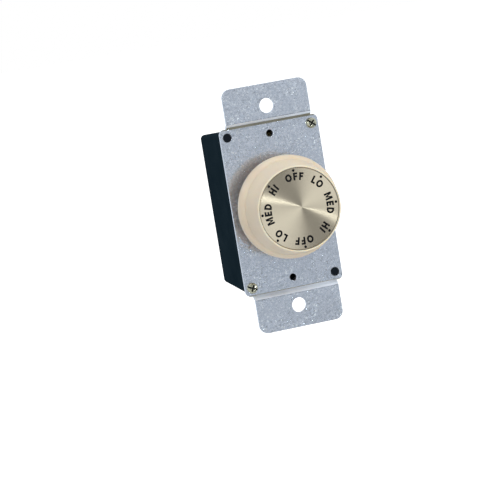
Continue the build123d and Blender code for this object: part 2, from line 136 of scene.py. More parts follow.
def makeFlagGroup():
    # tone of the room as gloss sees it, from the direction that the ray goes
    group, entry, leave = newGroup("studioRoom", [("Direction", "NodeSocketVector", None)],
                                   [("Tone", "NodeSocketColor")])
    offset = group.nodes.new("ShaderNodeVectorMath")
    offset.operation = "SUBTRACT"
    offset.inputs[1].default_value = worldSetup["flagAim"]
    reach = group.nodes.new("ShaderNodeVectorMath")
    reach.operation = "LENGTH"
    split = group.nodes.new("ShaderNodeSeparateXYZ")
    angle = group.nodes.new("ShaderNodeMath")
    angle.operation = "ARCTAN2"
    double = group.nodes.new("ShaderNodeMath")
    double.operation = "MULTIPLY_ADD"
    double.inputs[1].default_value = 2.0
    double.inputs[2].default_value = -2.0 * math.radians(worldSetup["flagAngle"])
    wave = group.nodes.new("ShaderNodeMath")
    wave.operation = "COSINE"
    share = group.nodes.new("ShaderNodeMath")
    share.operation = "MULTIPLY_ADD"
    share.inputs[1].default_value = 0.5
    share.inputs[2].default_value = 0.5
    flags = group.nodes.new("ShaderNodeValToRGB")
    fillRamp(flags.color_ramp, worldSetup["flagTones"], worldSetup["roomTint"])
    inside = group.nodes.new("ShaderNodeValToRGB")
    fillRamp(inside.color_ramp, worldSetup["flagReach"])
    room = group.nodes.new("ShaderNodeValToRGB")
    fillRamp(room.color_ramp, worldSetup["roomTones"], worldSetup["roomTint"])
    blend = group.nodes.new("ShaderNodeMix")
    blend.data_type = "RGBA"
    links = group.links
    links.new(entry.outputs["Direction"], offset.inputs[0])
    links.new(offset.outputs["Vector"], reach.inputs[0])
    links.new(offset.outputs["Vector"], split.inputs["Vector"])
    links.new(split.outputs["Z"], angle.inputs[0])
    links.new(split.outputs["X"], angle.inputs[1])
    links.new(angle.outputs[0], double.inputs[0])
    links.new(double.outputs[0], wave.inputs[0])
    links.new(wave.outputs[0], share.inputs[0])
    links.new(share.outputs[0], flags.inputs["Fac"])
    links.new(reach.outputs["Value"], inside.inputs["Fac"])
    links.new(inside.outputs["Color"], blend.inputs["Factor"])
    links.new(reach.outputs["Value"], room.inputs["Fac"])
    links.new(room.outputs["Color"], blend.inputs["A"])
    links.new(flags.outputs["Color"], blend.inputs["B"])
    links.new(blend.outputs["Result"], leave.inputs["Tone"])
    return group


def makeWorld():
    world = bpy.data.worlds.new("studio")
    world.use_nodes = True
    nodes = world.node_tree.nodes
    links = world.node_tree.links
    nodes.clear()
    rays = nodes.new("ShaderNodeLightPath")
    place = nodes.new("ShaderNodeTexCoord")
    room = nodes.new("ShaderNodeGroup")
    room.node_tree = makeFlagGroup()
    fill = nodes.new("ShaderNodeBackground")
    fill.inputs["Color"].default_value = (*worldSetup["tint"], 1)
    fill.inputs["Strength"].default_value = worldSetup["fill"]
    gloss = nodes.new("ShaderNodeBackground")
    white = nodes.new("ShaderNodeBackground")
    white.inputs["Color"].default_value = (1, 1, 1, 1)
    mirrored = nodes.new("ShaderNodeMath")
    mirrored.operation = "MAXIMUM"
    glossMix = nodes.new("ShaderNodeMixShader")
    cameraMix = nodes.new("ShaderNodeMixShader")
    output = nodes.new("ShaderNodeOutputWorld")
    links.new(place.outputs["Object"], room.inputs["Direction"])
    links.new(room.outputs["Tone"], gloss.inputs["Color"])
    links.new(rays.outputs["Is Glossy Ray"], mirrored.inputs[0])
    links.new(rays.outputs["Is Transmission Ray"], mirrored.inputs[1])
    links.new(mirrored.outputs[0], glossMix.inputs["Fac"])
    links.new(fill.outputs["Background"], glossMix.inputs[1])
    links.new(gloss.outputs["Background"], glossMix.inputs[2])
    links.new(rays.outputs["Is Camera Ray"], cameraMix.inputs["Fac"])
    links.new(glossMix.outputs["Shader"], cameraMix.inputs[1])
    links.new(white.outputs["Background"], cameraMix.inputs[2])
    links.new(cameraMix.outputs["Shader"], output.inputs["Surface"])
    world.cycles.sampling_method = "NONE"   # so that gloss meets the room only along its own rays
    bpy.context.scene.world = world
    bpy.context.scene.view_settings.view_transform = "Standard"


floorSetup = {"drop": 0.20, "size": 30.0, "colour": (0.80, 0.80, 0.80), "glow": 0.75}


def makeFloor():
    # the camera sees it white with its shadow, and gloss passes it and meets the room
    form = bmesh.new()
    place = Matrix.Translation((0, 0, cadBox[0][2] - floorSetup["drop"]))
    bmesh.ops.create_grid(form, x_segments=1, y_segments=1, size=floorSetup["size"] / 2, matrix=place)
    floor = meshObject("paleFloor", form)
    material = bpy.data.materials.new("paleFloor")
    material.use_nodes = True
    nodes = material.node_tree.nodes
    links = material.node_tree.links
    nodes.clear()
    rays = nodes.new("ShaderNodeLightPath")
    matt = nodes.new("ShaderNodeBsdfDiffuse")
    matt.inputs["Color"].default_value = (*floorSetup["colour"], 1)
    glow = nodes.new("ShaderNodeEmission")
    glow.inputs["Color"].default_value = (1, 1, 1, 1)
    strength = nodes.new("ShaderNodeMath")
    strength.operation = "MULTIPLY"
    strength.inputs[1].default_value = floorSetup["glow"]
    seen = nodes.new("ShaderNodeAddShader")
    output = nodes.new("ShaderNodeOutputMaterial")
    links.new(rays.outputs["Is Camera Ray"], strength.inputs[0])
    links.new(strength.outputs[0], glow.inputs["Strength"])
    links.new(matt.outputs["BSDF"], seen.inputs[0])
    links.new(glow.outputs["Emission"], seen.inputs[1])
    links.new(seen.outputs["Shader"], output.inputs["Surface"])
    floor.data.materials.append(material)
    floor.visible_glossy = False
    floor.visible_transmission = False


# Helpers that every piece uses
mergeDistance = {"spun": 1e-6, "cad": 2e-6}
flatAngle = math.radians(1.0)


def meshObject(name, form, sharpAngle=None):
    mesh = bpy.data.meshes.new(name)
    form.to_mesh(mesh)
    form.free()
    if sharpAngle:
        mesh.shade_smooth()
        mesh.set_sharp_from_angle(angle=math.radians(sharpAngle))
    piece = bpy.data.objects.new(name, mesh)
    bpy.context.scene.collection.objects.link(piece)
    return piece


def spinProfile(form, points, steps, closed=False):
    # points are (radius, y) in metres; the outline turns about the Y axis
    ring = [form.verts.new((radius, y, 0)) for radius, y in points]
    edges = [form.edges.new(pair) for pair in zip(ring, ring[1:])]
    if closed:
        edges.append(form.edges.new((ring[-1], ring[0])))
    bmesh.ops.spin(form, geom=ring + edges, cent=(0, 0, 0), axis=(0, 1, 0), angle=2 * math.pi,
                   steps=steps, use_merge=True, use_normal_flip=False, use_duplicate=False)
    bmesh.ops.remove_doubles(form, verts=form.verts, dist=mergeDistance["spun"])
    bmesh.ops.recalc_face_normals(form, faces=form.faces)


def cleanCopy(node):
    # a CAD node's triangles, merged to flat faces
    form = bmesh.new()
    form.from_mesh(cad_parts[node].data)
    bmesh.ops.remove_doubles(form, verts=form.verts, dist=mergeDistance["cad"])
    bmesh.ops.dissolve_limit(form, angle_limit=flatAngle, verts=form.verts, edges=form.edges,
                             use_dissolve_boundaries=False)
    return form


# Node groups for the surfaces, each with named inputs and outputs
def newGroup(name, inputs, outputs):
    group = bpy.data.node_groups.new(name, "ShaderNodeTree")
    for label, kind, value in inputs:
        socket = group.interface.new_socket(label, in_out="INPUT", socket_type=kind)
        if value is not None:
            socket.default_value = value
    for label, kind in outputs:
        group.interface.new_socket(label, in_out="OUTPUT", socket_type=kind)
    entry = group.nodes.new("NodeGroupInput")
    leave = group.nodes.new("NodeGroupOutput")
    return group, entry, leave


def makeGrainGroup():
    # fine surface grain: a mask for tone or roughness and a height for bump
    group, entry, leave = newGroup(
        "surfaceGrain",
        [("Vector", "NodeSocketVector", None), ("Fine Scale", "NodeSocketFloat", 2500.0),
         ("Broad Scale", "NodeSocketFloat", 120.0), ("Broad Share", "NodeSocketFloat", 0.4)],
        [("Mask", "NodeSocketFloat"), ("Height", "NodeSocketFloat")])
    fine = group.nodes.new("ShaderNodeTexNoise")
    fine.inputs["Detail"].default_value = 3.0
    broad = group.nodes.new("ShaderNodeTexNoise")
    broad.inputs["Detail"].default_value = 4.0
    blend = group.nodes.new("ShaderNodeMix")
    links = group.links
    links.new(entry.outputs["Vector"], fine.inputs["Vector"])
    links.new(entry.outputs["Vector"], broad.inputs["Vector"])
    links.new(entry.outputs["Fine Scale"], fine.inputs["Scale"])
    links.new(entry.outputs["Broad Scale"], broad.inputs["Scale"])
    links.new(entry.outputs["Broad Share"], blend.inputs["Factor"])
    links.new(fine.outputs["Fac"], blend.inputs["A"])
    links.new(broad.outputs["Fac"], blend.inputs["B"])
    links.new(blend.outputs["Result"], leave.inputs["Mask"])
    links.new(fine.outputs["Fac"], leave.inputs["Height"])
    return group


spangleSetup = {
    "warpScale": 700.0, "warpReach": 0.9,             # the flakes' edges wander this far
    "cloudRoughness": 0.62, "cloudRelief": 0.01,
    "speckChance": 0.84,                              # share of the crumbs that aren't bright at all
    "patchScale": 110.0, "patchSpan": (0.42, 0.68), "patchLow": 0.25,
}


def makeSpangleGroup():
    # zinc crystals: flakes of differing tone over a cloudy ground, with bright specks in patches that are
    # painted glints
    group, entry, leave = newGroup(
        "zincSpangle",
        [("Vector", "NodeSocketVector", None), ("Flake Scale", "NodeSocketFloat", 900.0),
         ("Cloud Scale", "NodeSocketFloat", 160.0), ("Cloud Share", "NodeSocketFloat", 0.5),
         ("Speck Scale", "NodeSocketFloat", 2600.0)],
        [("Mask", "NodeSocketFloat"), ("Height", "NodeSocketFloat"), ("Speck", "NodeSocketFloat")])
    warp = group.nodes.new("ShaderNodeTexNoise")
    warp.inputs["Scale"].default_value = spangleSetup["warpScale"]
    warp.inputs["Detail"].default_value = 2.0
    bend = group.nodes.new("ShaderNodeVectorMath")
    bend.operation = "MULTIPLY_ADD"
    bend.inputs[1].default_value = [spangleSetup["warpReach"] * mm] * 3
    flakes = group.nodes.new("ShaderNodeTexVoronoi")
    tone = group.nodes.new("ShaderNodeSeparateColor")
    cloud = group.nodes.new("ShaderNodeTexNoise")
    cloud.inputs["Detail"].default_value = 5.0
    cloud.inputs["Roughness"].default_value = spangleSetup["cloudRoughness"]
    blend = group.nodes.new("ShaderNodeMix")
    crumbs = group.nodes.new("ShaderNodeTexVoronoi")
    chance = group.nodes.new("ShaderNodeSeparateColor")
    paintedGlint = group.nodes.new("ShaderNodeMapRange")
    paintedGlint.inputs["From Min"].default_value = spangleSetup["speckChance"]
    patches = group.nodes.new("ShaderNodeTexNoise")
    patches.inputs["Scale"].default_value = spangleSetup["patchScale"]
    patches.inputs["Detail"].default_value = 3.0
    patchEdge = group.nodes.new("ShaderNodeMapRange")
    patchEdge.inputs["From Min"].default_value = spangleSetup["patchSpan"][0]
    patchEdge.inputs["From Max"].default_value = spangleSetup["patchSpan"][1]
    patchEdge.inputs["To Min"].default_value = spangleSetup["patchLow"]
    crop = group.nodes.new("ShaderNodeMath")
    crop.operation = "MULTIPLY"
    # each crystal's face leans its own way, so a few of them catch a lamp
    inside = group.nodes.new("ShaderNodeVectorMath")
    inside.operation = "SUBTRACT"
    leaning = group.nodes.new("ShaderNodeVectorMath")
    leaning.operation = "SUBTRACT"
    leaning.inputs[1].default_value = (0.5, 0.5, 0.5)
    facet = group.nodes.new("ShaderNodeVectorMath")
    facet.operation = "DOT_PRODUCT"
    facets = group.nodes.new("ShaderNodeMath")
    facets.operation = "MULTIPLY"
    relief = group.nodes.new("ShaderNodeMath")
    relief.operation = "MULTIPLY_ADD"
    relief.inputs[1].default_value = spangleSetup["cloudRelief"] * mm
    links = group.links
    links.new(entry.outputs["Vector"], inside.inputs[0])
    links.new(crumbs.outputs["Position"], inside.inputs[1])
    links.new(crumbs.outputs["Color"], leaning.inputs[0])
    links.new(inside.outputs["Vector"], facet.inputs[0])
    links.new(leaning.outputs["Vector"], facet.inputs[1])
    links.new(facet.outputs["Value"], facets.inputs[0])
    links.new(patchEdge.outputs["Result"], facets.inputs[1])
    links.new(cloud.outputs["Fac"], relief.inputs[0])
    links.new(facets.outputs[0], relief.inputs[2])
    links.new(entry.outputs["Vector"], crumbs.inputs["Vector"])
    links.new(entry.outputs["Speck Scale"], crumbs.inputs["Scale"])
    links.new(crumbs.outputs["Color"], chance.inputs["Color"])
    links.new(chance.outputs["Green"], paintedGlint.inputs["Value"])
    links.new(entry.outputs["Vector"], patches.inputs["Vector"])
    links.new(patches.outputs["Fac"], patchEdge.inputs["Value"])
    links.new(paintedGlint.outputs["Result"], crop.inputs[0])
    links.new(patchEdge.outputs["Result"], crop.inputs[1])
    links.new(crop.outputs[0], leave.inputs["Speck"])
    links.new(entry.outputs["Vector"], warp.inputs["Vector"])
    links.new(warp.outputs["Color"], bend.inputs[0])
    links.new(entry.outputs["Vector"], bend.inputs[2])
    links.new(bend.outputs["Vector"], flakes.inputs["Vector"])
    links.new(entry.outputs["Flake Scale"], flakes.inputs["Scale"])
    links.new(flakes.outputs["Color"], tone.inputs["Color"])
    links.new(entry.outputs["Vector"], cloud.inputs["Vector"])
    links.new(entry.outputs["Cloud Scale"], cloud.inputs["Scale"])
    links.new(entry.outputs["Cloud Share"], blend.inputs["Factor"])
    links.new(tone.outputs["Red"], blend.inputs["A"])
    links.new(cloud.outputs["Fac"], blend.inputs["B"])
    links.new(blend.outputs["Result"], leave.inputs["Mask"])
    links.new(relief.outputs[0], leave.inputs["Height"])
    return group


grainGroup = makeGrainGroup()
spangleGroup = makeSpangleGroup()


# Materials
maskSpan = (0.3, 0.7)    # the part of a mask that the darkest and lightest tones lie between


def startMaterial(name, metallic, roughness):
    material = bpy.data.materials.new(name)
    material.use_nodes = True
    nodes = material.node_tree.nodes
    shader = nodes["Principled BSDF"]
    shader.inputs["Metallic"].default_value = metallic
    shader.inputs["Roughness"].default_value = roughness
    place = nodes.new("ShaderNodeTexCoord")
    return material, shader, place.outputs["Object"]


def placeGroup(material, group, vector, **values):
    node = material.node_tree.nodes.new("ShaderNodeGroup")
    node.node_tree = group
    material.node_tree.links.new(vector, node.inputs["Vector"])
    for label, value in values.items():
        node.inputs[label].default_value = value
    return node


def toneRamp(material, mask, dark, light, span=maskSpan):
    ramp = material.node_tree.nodes.new("ShaderNodeValToRGB")
    ramp.color_ramp.elements[0].position = span[0]
    ramp.color_ramp.elements[0].color = (*dark, 1)
    ramp.color_ramp.elements[1].position = span[1]
    ramp.color_ramp.elements[1].color = (*light, 1)
    material.node_tree.links.new(mask, ramp.inputs["Fac"])
    return ramp.outputs["Color"]


def roughRange(material, mask, low, high):
    span = material.node_tree.nodes.new("ShaderNodeMapRange")
    span.inputs["From Min"].default_value = maskSpan[0]
    span.inputs["From Max"].default_value = maskSpan[1]
    span.inputs["To Min"].default_value = low
    span.inputs["To Max"].default_value = high
    material.node_tree.links.new(mask, span.inputs["Value"])
    return span.outputs["Result"]


def bumpFrom(material, height, strength, distance):
    bump = material.node_tree.nodes.new("ShaderNodeBump")
    bump.inputs["Strength"].default_value = strength
    bump.inputs["Distance"].default_value = distance
    material.node_tree.links.new(height, bump.inputs["Height"])
    return bump.outputs["Normal"]


def grainMaterial(setup):
    material, shader, vector = startMaterial(setup["name"], setup["metallic"], setup["rough"][0])
    grain = placeGroup(material, grainGroup, vector, **setup.get("grain", {}))
    mask = grain.outputs["Mask"]
    links = material.node_tree.links
    links.new(toneRamp(material, mask, setup["dark"], setup["light"]), shader.inputs["Base Color"])
    links.new(roughRange(material, mask, *setup["rough"]), shader.inputs["Roughness"])
    links.new(bumpFrom(material, grain.outputs["Height"], setup["bump"], grainDepth * mm),
              shader.inputs["Normal"])
    for label, value in setup.get("sockets", {}).items():
        shader.inputs[label].default_value = value
    return material


zincSetup = {"dark": (0.56, 0.578, 0.617), "light": (0.68, 0.683, 0.715), "paintedGlint": (1.0, 1.0, 0.96),
             "span": (0.25, 0.75), "rough": (0.17, 0.24), "metallic": 0.86,
             "flakes": 1500.0, "clouds": 300.0, "specks": 1700.0, "facets": 0.13}


def zincMaterial():
    material, shader, vector = startMaterial("zincSheet", zincSetup["metallic"], zincSetup["rough"][0])
    spangle = placeGroup(material, spangleGroup, vector,
                         **{"Flake Scale": zincSetup["flakes"], "Cloud Scale": zincSetup["clouds"],
                            "Speck Scale": zincSetup["specks"]})
    mask = spangle.outputs["Mask"]
    links = material.node_tree.links
    ground = toneRamp(material, mask, zincSetup["dark"], zincSetup["light"], zincSetup["span"])
    # bright specks painted into the base colour stand in for glints
    specks = material.node_tree.nodes.new("ShaderNodeMix")
    specks.data_type = "RGBA"
    specks.inputs["B"].default_value = (*zincSetup["paintedGlint"], 1)
    links.new(spangle.outputs["Speck"], specks.inputs["Factor"])
    links.new(ground, specks.inputs["A"])
    links.new(specks.outputs["Result"], shader.inputs["Base Color"])
    links.new(roughRange(material, mask, *zincSetup["rough"]), shader.inputs["Roughness"])
    links.new(bumpFrom(material, spangle.outputs["Height"], 1.0, zincSetup["facets"]),
              shader.inputs["Normal"])
    return material


# The other finishes share the grain: darkest and lightest tone, roughness range, bump, and what differs
grainDepth = 0.05
finishSetup = {
    "ivory": {"name": "ivoryPlastic", "dark": (0.605, 0.512, 0.395), "light": (0.68, 0.583, 0.455),
              "metallic": 0.0, "rough": (0.44, 0.54), "bump": 0.15,
              "grain": {"Broad Scale": 90.0, "Broad Share": 0.7},
              "sockets": {"Specular IOR Level": 0.15, "Subsurface Weight": 0.8,
                          "Subsurface Radius": (1.0, 0.7, 0.45), "Subsurface Scale": 0.004}},
    "seatShade": {"name": "seatShade", "dark": (0.16, 0.14, 0.10), "light": (0.24, 0.205, 0.15),
                  "metallic": 0.0, "rough": (0.6, 0.7), "bump": 0.1},
    "housing": {"name": "housingPlastic", "dark": (0.006, 0.014, 0.021), "light": (0.016, 0.028, 0.037),
                "metallic": 0.0, "rough": (0.5, 0.62), "bump": 0.3,
                "sockets": {"Specular IOR Level": 0.0}},
    "pegFace": {"name": "pegFace", "dark": (0.002, 0.004, 0.007), "light": (0.006, 0.009, 0.013),
                "metallic": 0.0, "rough": (0.5, 0.62), "bump": 0.3,
                "sockets": {"Specular IOR Level": 0.1}},
    "screw": {"name": "yellowZinc", "dark": (0.34, 0.304, 0.19), "light": (0.75, 0.69, 0.515),
              "metallic": 1.0, "rough": (0.14, 0.24), "bump": 0.1},
    # painted shade: near black in the screws' recesses
    "paintedRecessShade": {"name": "screwRecessShade", "dark": (0.004, 0.004, 0.002), "light": (0.014, 0.014, 0.008),
               "metallic": 0.0, "rough": (0.5, 0.7), "bump": 0.2},
    # painted highlight along the yoke's broken edges
    "zincEdgeHighlight": {"name": "paintedEdgeHighlight", "dark": (0.795, 0.775, 0.762), "light": (0.95, 0.91, 0.876),
                 "metallic": 0.92, "rough": (0.22, 0.32), "bump": 0.1},
    # painted highlight: a lighter tone on the yoke's steps and bends
    "zincBendHighlight": {"name": "paintedBendHighlight", "dark": (0.68, 0.71, 0.76), "light": (0.80, 0.83, 0.88),
                 "metallic": 0.45, "rough": (0.30, 0.40), "bump": 0.2},
    # painted shade in the yoke's folds and on its upper step
    "foldShade": {"name": "foldShade", "dark": (0.19, 0.18, 0.14), "light": (0.33, 0.315, 0.24),
                  "metallic": 0.2, "rough": (0.5, 0.7), "bump": 0.2},
    "ink": {"name": "dialInk", "dark": (0.004, 0.004, 0.004), "light": (0.009, 0.009, 0.009),
            "metallic": 0.0, "rough": (0.6, 0.7), "bump": 0.05,
            "sockets": {"Specular IOR Level": 0.05}},
    "steel": {"name": "platedSteel", "dark": (0.36, 0.37, 0.38), "light": (0.52, 0.53, 0.54),
              "metallic": 1.0, "rough": (0.28, 0.42), "bump": 0.1},
    "springSteel": {"name": "springSteel", "dark": (0.22, 0.22, 0.23), "light": (0.34, 0.34, 0.35),
                    "metallic": 1.0, "rough": (0.25, 0.4), "bump": 0.1},
    "castZinc": {"name": "castZinc", "dark": (0.42, 0.42, 0.42), "light": (0.56, 0.56, 0.56),
                 "metallic": 1.0, "rough": (0.35, 0.5), "bump": 0.2},
    "brass": {"name": "brass", "dark": (0.52, 0.38, 0.16), "light": (0.70, 0.54, 0.28),
              "metallic": 1.0, "rough": (0.25, 0.4), "bump": 0.1},
    "bronze": {"name": "bronze", "dark": (0.48, 0.27, 0.12), "light": (0.62, 0.38, 0.20),
               "metallic": 1.0, "rough": (0.25, 0.4), "bump": 0.1},
    "card": {"name": "insulatorCard", "dark": (0.05, 0.05, 0.045), "light": (0.10, 0.10, 0.09),
             "metallic": 0.0, "rough": (0.7, 0.85), "bump": 0.5},
    "phenolic": {"name": "phenolic", "dark": (0.05, 0.022, 0.012), "light": (0.10, 0.045, 0.025),
                 "metallic": 0.0, "rough": (0.35, 0.5), "bump": 0.2},
    "laminate": {"name": "boardLaminate", "dark": (0.20, 0.15, 0.05), "light": (0.32, 0.25, 0.10),
                 "metallic": 0.0, "rough": (0.4, 0.55), "bump": 0.2},
    "capacitor": {"name": "capacitorCase", "dark": (0.50, 0.38, 0.08), "light": (0.62, 0.48, 0.13),
                  "metallic": 0.0, "rough": (0.25, 0.35), "bump": 0.05},
    "lacquer": {"name": "resistorLacquer", "dark": (0.20, 0.30, 0.36), "light": (0.30, 0.40, 0.45),
                "metallic": 0.0, "rough": (0.25, 0.35), "bump": 0.05},
    "nylon": {"name": "naturalNylon", "dark": (0.62, 0.60, 0.54), "light": (0.74, 0.72, 0.66),
              "metallic": 0.0, "rough": (0.4, 0.5), "bump": 0.1},
}
materials = {finish: grainMaterial(setup) for finish, setup in finishSetup.items()}
materials["zinc"] = zincMaterial()

# What each CAD node is made of
nodeFinish = {
    "insulator_sheet": "card", "switch_frame": "steel", "switch_base": "phenolic",
    "mounting_bushing": "castZinc", "bushing_nut": "steel", "lock_washer": "steel",
    "line_terminal": "brass", "low_terminal": "brass", "medium_terminal": "brass",
    "high_terminal": "brass", "detent_spring_left": "springSteel", "detent_spring_right": "springSteel",
    "circuit_board": "laminate", "capacitor_upper": "capacitor", "capacitor_lower": "capacitor",
    "bleed_resistor_upper": "lacquer", "bleed_resistor_lower": "lacquer", "selector_shaft": "brass",
    "shaft_clip": "springSteel", "detent_wheel": "nylon", "contact_rotor": "nylon",
    "contact_bridge": "bronze", "grip_spring": "springSteel", "yoke_plate": "zinc",
    "rear_housing": "housing", "housing_screws": "screw", "knob_body": "ivory",
}
for node, finish in nodeFinish.items():
    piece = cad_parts[node]
    piece.data.materials.clear()
    piece.data.materials.append(materials[finish])
print("materials made")

makeCamera()
makeLamps()
makeWorld()
makeFloor()
print("camera, lamps and floor placed")


# Dial: spun metal disc let into the knob, with printed words
dialSetup = {"tint": ((0.786, 0.637, 0.44), (0.893, 0.727, 0.51)), "rough": (0.22, 0.26),
             "spin": 1.0, "spinCentre": (1.2, 0.0, 0.5), "brushScale": 9000.0,
             "chamfer": 0.1, "steps": 192, "hub": 0.3, "rings": 14}


def dialMaterial():
    material, shader, vector = startMaterial("spunDial", 1.0, dialSetup["rough"][0])
    nodes = material.node_tree.nodes
    links = material.node_tree.links
    # brushing: noise that changes only with the distance from the centre
    flat = nodes.new("ShaderNodeVectorMath")
    flat.operation = "MULTIPLY_ADD"
    flat.inputs[1].default_value = (1, 0, 1)
    flat.inputs[2].default_value = [-part * mm for part in dialSetup["spinCentre"]]
    radius = nodes.new("ShaderNodeVectorMath")
    radius.operation = "LENGTH"
    rings = nodes.new("ShaderNodeTexNoise")
    rings.noise_dimensions = "1D"
    rings.inputs["Scale"].default_value = dialSetup["brushScale"]
    rings.inputs["Detail"].default_value = 2.0
    links.new(vector, flat.inputs[0])
    links.new(flat.outputs["Vector"], radius.inputs[0])
    links.new(radius.outputs["Value"], rings.inputs["W"])
    links.new(toneRamp(material, rings.outputs["Fac"], *dialSetup["tint"]), shader.inputs["Base Color"])
    links.new(roughRange(material, rings.outputs["Fac"], *dialSetup["rough"]), shader.inputs["Roughness"])
    shader.inputs["Anisotropic"].default_value = dialSetup["spin"]
    shader.inputs["Anisotropic Rotation"].default_value = 0.25   # the brush marks run round the centre
    tangent = nodes.new("ShaderNodeTangent")
    tangent.direction_type = "UV_MAP"
    tangent.uv_map = "brushing"
    links.new(tangent.outputs["Tangent"], shader.inputs["Tangent"])
    return material


def makeDial():
    low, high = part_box("dial_plate")
    radius = high.x
    front, rear = low.y, high.y
    chamfer = dialSetup["chamfer"] * mm
    hub = dialSetup["hub"] * mm
    span = radius - chamfer - hub
    points = [(hub + span * turn / dialSetup["rings"], front) for turn in range(dialSetup["rings"] + 1)]
    points += [(radius, front + chamfer), (radius, rear), (hub, rear)]
    form = bmesh.new()
    spinProfile(form, points, dialSetup["steps"])
    bmesh.ops.holes_fill(form, edges=form.edges, sides=0)
    bmesh.ops.recalc_face_normals(form, faces=form.faces)
    brushing = form.loops.layers.uv.new("brushing")
    for face in form.faces:
        middle = face.calc_center_median()
        centre = math.atan2(middle.z, middle.x)
        for loop in face.loops:
            angle = math.atan2(loop.vert.co.z, loop.vert.co.x)
            angle += 2 * math.pi * round((centre - angle) / (2 * math.pi))
            reach = math.hypot(loop.vert.co.x, loop.vert.co.z)
            loop[brushing].uv = (angle / math.pi, reach / radius)
    for vert in form.verts:   # the brush marks run round a point a little off the middle
        share = 1 - min(1, math.hypot(vert.co.x, vert.co.z) / radius) ** 4
        vert.co += Vector(dialSetup["spinCentre"]) * mm * share
    dial = meshObject("spunDial", form, sharpAngle=30)
    dial.data.materials.append(dialMaterial())
    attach(dial, "knob")
    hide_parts("dial_plate")


legendSetup = {
    "words": ["OFF", "LO", "MED", "HI", "OFF", "LO", "MED", "HI"],   # clockwise from the top
    "capHeight": 3.1, "baseRadius": 11.5, "gap": 0.72, "stroke": 0.76,
    "widths": {"O": 2.75, "F": 1.75, "L": 1.7, "M": 2.85, "E": 1.85, "D": 2.35, "H": 2.25, "I": 0.76},
    "kern": {"L": -0.1}, "roundSteps": 28,
    "middleBar": 0.92,      # the F's and E's middle bar, as a share of the letter's width
    # the M's slopes, as shares of its height, and how far they reach beside its stems
    "slopeFoot": 0.12, "slopeInside": 0.42, "slopeOutside": 0.64, "slopeHalf": 0.3, "slopeTop": 1.1,
    "inkHeight": 0.02, "dotRadius": 0.55, "dotPlace": 15.55, "dotSteps": 20,
}


def roundOutline(left, right, low, high, start, sweep):
    # part of an ellipse that fills the given box
    steps = legendSetup["roundSteps"]
    angles = [math.radians(start + sweep * step / steps) for step in range(steps + (abs(sweep) < 360))]
    across, upward = (right - left) / 2, (high - low) / 2
    return [(left + across * (1 + math.cos(angle)), low + upward * (1 + math.sin(angle)))
            for angle in angles]


def letterOutlines(letter):
    # closed outlines in millimetres: the outer edge first, then the counter
    setup = legendSetup
    tall, bold, wide = setup["capHeight"], setup["stroke"], setup["widths"][letter]
    middle = (tall + bold) / 2
    bar = setup["middleBar"] * wide
    if letter == "I":
        return [[(0, 0), (wide, 0), (wide, tall), (0, tall)]]
    if letter == "L":
        return [[(0, 0), (wide, 0), (wide, bold), (bold, bold), (bold, tall), (0, tall)]]
    if letter == "F":
        return [[(0, 0), (bold, 0), (bold, middle - bold), (bar, middle - bold), (bar, middle),
                 (bold, middle), (bold, tall - bold), (wide, tall - bold), (wide, tall), (0, tall)]]
    if letter == "E":
        return [[(0, 0), (wide, 0), (wide, bold), (bold, bold), (bold, middle - bold),
                 (bar, middle - bold), (bar, middle), (bold, middle), (bold, tall - bold),
                 (wide, tall - bold), (wide, tall), (0, tall)]]
    if letter == "H":
        return [[(0, 0), (bold, 0), (bold, middle - bold), (wide - bold, middle - bold),
                 (wide - bold, 0), (wide, 0), (wide, tall), (wide - bold, tall),
                 (wide - bold, middle), (bold, middle), (bold, tall), (0, tall)]]
    if letter == "M":
        half, foot = wide / 2, setup["slopeFoot"] * tall
        outside, inside = setup["slopeOutside"] * tall, setup["slopeInside"] * tall
        tip, top = setup["slopeHalf"] * bold, setup["slopeTop"] * bold
        return [[(0, 0), (bold, 0), (bold, outside), (half - tip, foot), (half + tip, foot),
                 (wide - bold, outside), (wide - bold, 0), (wide, 0), (wide, tall), (wide - top, tall),
                 (half, inside), (top, tall), (0, tall)]]
    if letter == "D":
        bow = roundOutline(wide - tall, wide, 0, tall, -90, 180)
        inner = roundOutline(wide + bold - tall, wide - bold, bold, tall - bold, -90, 180)
        return [[(0, 0)] + bow + [(0, tall)], [(bold, bold)] + inner + [(bold, tall - bold)]]
    return [roundOutline(0, wide, 0, tall, 0, 360),
            roundOutline(bold, wide - bold, bold, tall - bold, 0, 360)]


def addLetter(form, letter, centre, turn):
    # the letter stands on the base circle, and turns with its place round the dial
    edges = []
    verts = []
    for outline in letterOutlines(letter):
        loop = [form.verts.new((x - centre, y + legendSetup["baseRadius"], 0)) for x, y in outline]
        edges += [form.edges.new(pair) for pair in zip(loop, loop[1:] + loop[:1])]
        verts += loop
    bmesh.ops.triangle_fill(form, edges=edges, use_beauty=True, use_dissolve=True)
    bmesh.ops.rotate(form, verts=verts, matrix=Matrix.Rotation(turn, 3, "Z"))


